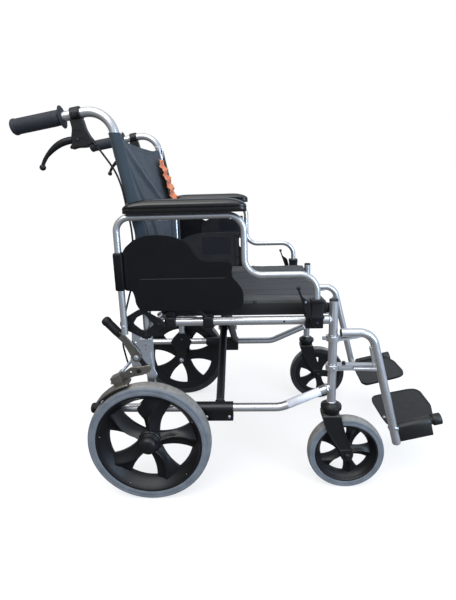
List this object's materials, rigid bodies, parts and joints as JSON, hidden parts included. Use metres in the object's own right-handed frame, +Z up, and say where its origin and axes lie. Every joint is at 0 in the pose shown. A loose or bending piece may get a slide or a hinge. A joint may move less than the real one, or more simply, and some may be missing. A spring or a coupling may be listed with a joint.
{
  "type": "transport wheelchair",
  "caption": "Folding transport wheelchair with a cross-braced tube frame, sling seat and back, flip-up armrests, swing-away legrests and attendant brakes.",
  "frame": {"origin": "on the ground, at the middle of the chair's overall length and width", "axes": "+X forward, the way the occupant faces; +Y to the occupant's left; +Z up"},
  "size_m": [1.0449, 0.634, 0.9811],
  "materials": {
    "silver_paint": "satin silver powder coat",
    "zinc_steel": "zinc plated, satin",
    "black_paint": "semi-gloss black enamel",
    "black_plastic": "fine moulded texture",
    "grey_tyre": "matt grey, solid",
    "black_rubber": "matt, ribbed",
    "black_vinyl": "soft moulded polyurethane with a smooth skin",
    "slate_nylon": "coated woven nylon",
    "brake_bronze": "yellow passivated, worn"
  },
  "bodies": {
    "frame_right": {"side_frame_right": "silver_paint", "back_cane_right": "silver_paint", "handle_grip_right": "black_rubber", "brake_lever_housing_right": "black_plastic", "brake_cable_right": "black_rubber", "cane_bracket_right": "black_plastic", "armrest_socket_right": "black_plastic", "brake_plate_right": "zinc_steel", "rear_axle_right": "zinc_steel", "caster_housing_right": "black_plastic"},
    "cross_a": {"cross_tube_right": "black_paint", "cross_pivot_bolt": "zinc_steel"},
    "cross_b": {"cross_tube_left": "black_paint"},
    "brake_grip_right": {"brake_lever_right": "black_plastic"},
    "armrest_right": {"armrest_tube_right": "silver_paint", "armrest_pad_right": "black_vinyl", "side_guard_right": "black_plastic"},
    "socket_lever_right": {"socket_release_lever_right": "black_plastic"},
    "parking_lever_right": {"parking_brake_lever_right": "black_paint"},
    "shoe_arm_right": {"brake_arm_right": "brake_bronze"},
    "rear_wheel_right": {"rear_tyre_right": "grey_tyre", "rear_rim_right": "black_plastic"},
    "caster_swivel_right": {"caster_fork_right": "black_plastic", "caster_axle_right": "zinc_steel"},
    "caster_wheel_right": {"caster_tyre_right": "grey_tyre", "caster_rim_right": "black_plastic"},
    "link_right": {"cross_link_right": "zinc_steel"},
    "seat_right": {"seat_half_right": "slate_nylon"},
    "back_right": {"back_half_right": "slate_nylon"},
    "legrest_right": {"legrest_hanger_right": "silver_paint"},
    "step_right": {"footplate_right": "black_plastic"},
    "frame_left": {"side_frame_left": "silver_paint", "back_cane_left": "silver_paint", "handle_grip_left": "black_rubber", "brake_lever_housing_left": "black_plastic", "brake_cable_left": "black_rubber", "cane_bracket_left": "black_plastic", "armrest_socket_left": "black_plastic", "brake_plate_left": "zinc_steel", "rear_axle_left": "zinc_steel", "caster_housing_left": "black_plastic"},
    "brake_grip_left": {"brake_lever_left": "black_plastic"},
    "armrest_left": {"armrest_tube_left": "silver_paint", "armrest_pad_left": "black_vinyl", "side_guard_left": "black_plastic"},
    "socket_lever_left": {"socket_release_lever_left": "black_plastic"},
    "parking_lever_left": {"parking_brake_lever_left": "black_paint"},
    "shoe_arm_left": {"brake_arm_left": "brake_bronze"},
    "rear_wheel_left": {"rear_tyre_left": "grey_tyre", "rear_rim_left": "black_plastic"},
    "caster_swivel_left": {"caster_fork_left": "black_plastic", "caster_axle_left": "zinc_steel"},
    "caster_wheel_left": {"caster_tyre_left": "grey_tyre", "caster_rim_left": "black_plastic"},
    "link_left": {"cross_link_left": "zinc_steel"},
    "seat_left": {"seat_half_left": "slate_nylon"},
    "back_left": {"back_half_left": "slate_nylon"},
    "legrest_left": {"legrest_hanger_left": "silver_paint"},
    "step_left": {"footplate_left": "black_plastic"}
  },
  "joints": [
    {"name": "fold", "type": "hinge", "parent": "frame_right", "child": "cross_a", "pos_m": [-0.0905, -0.24, 0.228], "axis": [1, 0, 0], "range_deg": [0, 38]},
    {"name": "cross_scissor", "type": "hinge", "parent": "cross_a", "child": "cross_b", "pos_m": [-0.054, 0, 0.36426], "axis": [1, 0, 0], "range_deg": [-76, 0]},
    {"name": "cross_foot_left", "type": "hinge", "parent": "cross_b", "child": "frame_left", "pos_m": [-0.0905, 0.24, 0.228], "axis": [1, 0, 0], "range_deg": [0, 38]},
    {"name": "seat_fold_right", "type": "hinge", "parent": "cross_b", "child": "seat_right", "pos_m": [0, -0.225, 0.492], "axis": [1, 0, 0], "range_deg": [0, 102.5]},
    {"name": "back_fold_right", "type": "hinge", "parent": "frame_right", "child": "back_right", "pos_m": [-0.241, -0.24, 0.52], "axis": [-0.1072, 0, 0.9942], "range_deg": [0, 64.5]},
    {"name": "link_pivot_right", "type": "hinge", "parent": "frame_right", "child": "link_right", "pos_m": [-0.0805, -0.2225, 0.443], "axis": [1, 0, 0], "range_deg": [0, 83]},
    {"name": "legrest_swing_right", "type": "hinge", "parent": "frame_right", "child": "legrest_right", "pos_m": [0.223, -0.24, 0.38], "axis": [0, 0, 1], "range_deg": [-90, 0]},
    {"name": "step_flip_right", "type": "hinge", "parent": "legrest_right", "child": "step_right", "pos_m": [0.399, -0.21, 0.1475], "axis": [0.9724, 0, 0.2334], "range_deg": [0, 90]},
    {"name": "armrest_flip_right", "type": "hinge", "parent": "frame_right", "child": "armrest_right", "pos_m": [-0.291, -0.275, 0.467], "axis": [0, 1, 0], "range_deg": [-110, 0]},
    {"name": "socket_latch_right", "type": "hinge", "parent": "frame_right", "child": "socket_lever_right", "pos_m": [0.1475, -0.29, 0.526], "axis": [0, 1, 0], "range_deg": [0, 25], "stiffness_Nm_per_rad": 0.2, "springref_deg": -8.59},
    {"name": "hand_brake_right", "type": "hinge", "parent": "frame_right", "child": "brake_grip_right", "pos_m": [-0.368, -0.24, 0.905], "axis": [0, 1, 0], "range_deg": [0, 22], "stiffness_Nm_per_rad": 1.5, "springref_deg": -5.73},
    {"name": "parking_brake_right", "type": "hinge", "parent": "frame_right", "child": "parking_lever_right", "pos_m": [-0.271, -0.258, 0.378], "axis": [0, 1, 0], "range_deg": [-28, 0]},
    {"name": "shoe_arm_pivot_right", "type": "hinge", "parent": "frame_right", "child": "shoe_arm_right", "pos_m": [-0.267, -0.258, 0.341], "axis": [0, 1, 0], "range_deg": [-2, 0]},
    {"name": "rear_wheel_spin_right", "type": "hinge", "parent": "frame_right", "child": "rear_wheel_right", "pos_m": [-0.2455, -0.283, 0.159], "axis": [0, 1, 0], "continuous": true},
    {"name": "caster_swivel_right", "type": "hinge", "parent": "frame_right", "child": "caster_swivel_right", "pos_m": [0.223, -0.24, 0.207], "axis": [0, 0, 1], "continuous": true},
    {"name": "caster_spin_right", "type": "hinge", "parent": "caster_swivel_right", "child": "caster_wheel_right", "pos_m": [0.263, -0.24, 0.1], "axis": [0, 1, 0], "continuous": true},
    {"name": "seat_fold_left", "type": "hinge", "parent": "cross_a", "child": "seat_left", "pos_m": [0, 0.225, 0.492], "axis": [1, 0, 0], "range_deg": [-102.5, 0]},
    {"name": "back_fold_left", "type": "hinge", "parent": "frame_left", "child": "back_left", "pos_m": [-0.241, 0.24, 0.52], "axis": [-0.1072, 0, 0.9942], "range_deg": [-64.5, 0]},
    {"name": "link_pivot_left", "type": "hinge", "parent": "frame_left", "child": "link_left", "pos_m": [-0.085, 0.2225, 0.443], "axis": [1, 0, 0], "range_deg": [-83, 0]},
    {"name": "legrest_swing_left", "type": "hinge", "parent": "frame_left", "child": "legrest_left", "pos_m": [0.223, 0.24, 0.38], "axis": [0, 0, 1], "range_deg": [0, 90]},
    {"name": "step_flip_left", "type": "hinge", "parent": "legrest_left", "child": "step_left", "pos_m": [0.399, 0.21, 0.1475], "axis": [0.9724, 0, 0.2334], "range_deg": [-90, 0]},
    {"name": "armrest_flip_left", "type": "hinge", "parent": "frame_left", "child": "armrest_left", "pos_m": [-0.291, 0.275, 0.467], "axis": [0, 1, 0], "range_deg": [-110, 0]},
    {"name": "socket_latch_left", "type": "hinge", "parent": "frame_left", "child": "socket_lever_left", "pos_m": [0.1475, 0.29, 0.526], "axis": [0, 1, 0], "range_deg": [0, 25], "stiffness_Nm_per_rad": 0.2, "springref_deg": -8.59},
    {"name": "hand_brake_left", "type": "hinge", "parent": "frame_left", "child": "brake_grip_left", "pos_m": [-0.368, 0.24, 0.905], "axis": [0, 1, 0], "range_deg": [0, 22], "stiffness_Nm_per_rad": 1.5, "springref_deg": -5.73},
    {"name": "parking_brake_left", "type": "hinge", "parent": "frame_left", "child": "parking_lever_left", "pos_m": [-0.271, 0.258, 0.378], "axis": [0, 1, 0], "range_deg": [-28, 0]},
    {"name": "shoe_arm_pivot_left", "type": "hinge", "parent": "frame_left", "child": "shoe_arm_left", "pos_m": [-0.267, 0.258, 0.341], "axis": [0, 1, 0], "range_deg": [-2, 0]},
    {"name": "rear_wheel_spin_left", "type": "hinge", "parent": "frame_left", "child": "rear_wheel_left", "pos_m": [-0.2455, 0.283, 0.159], "axis": [0, 1, 0], "continuous": true},
    {"name": "caster_swivel_left", "type": "hinge", "parent": "frame_left", "child": "caster_swivel_left", "pos_m": [0.223, 0.24, 0.207], "axis": [0, 0, 1], "continuous": true},
    {"name": "caster_spin_left", "type": "hinge", "parent": "caster_swivel_left", "child": "caster_wheel_left", "pos_m": [0.263, 0.24, 0.1], "axis": [0, 1, 0], "continuous": true}
  ],
  "couplings": [
    {"joint": "cross_scissor", "follows": "fold", "ratio": -2},
    {"joint": "cross_foot_left", "follows": "fold", "ratio": 1},
    {"joint": "seat_fold_right", "follows": "fold", "ratio": 2.69},
    {"joint": "back_fold_right", "follows": "fold", "ratio": 1.69},
    {"joint": "link_pivot_right", "follows": "fold", "ratio": 2.15},
    {"joint": "step_flip_right", "follows": "fold", "ratio": 2.36},
    {"joint": "shoe_arm_pivot_right", "follows": "parking_brake_right", "ratio": 0.054},
    {"joint": "seat_fold_left", "follows": "fold", "ratio": -2.69},
    {"joint": "back_fold_left", "follows": "fold", "ratio": -1.69},
    {"joint": "link_pivot_left", "follows": "fold", "ratio": -2.15},
    {"joint": "step_flip_left", "follows": "fold", "ratio": -2.36},
    {"joint": "shoe_arm_pivot_left", "follows": "parking_brake_left", "ratio": 0.054}
  ]
}
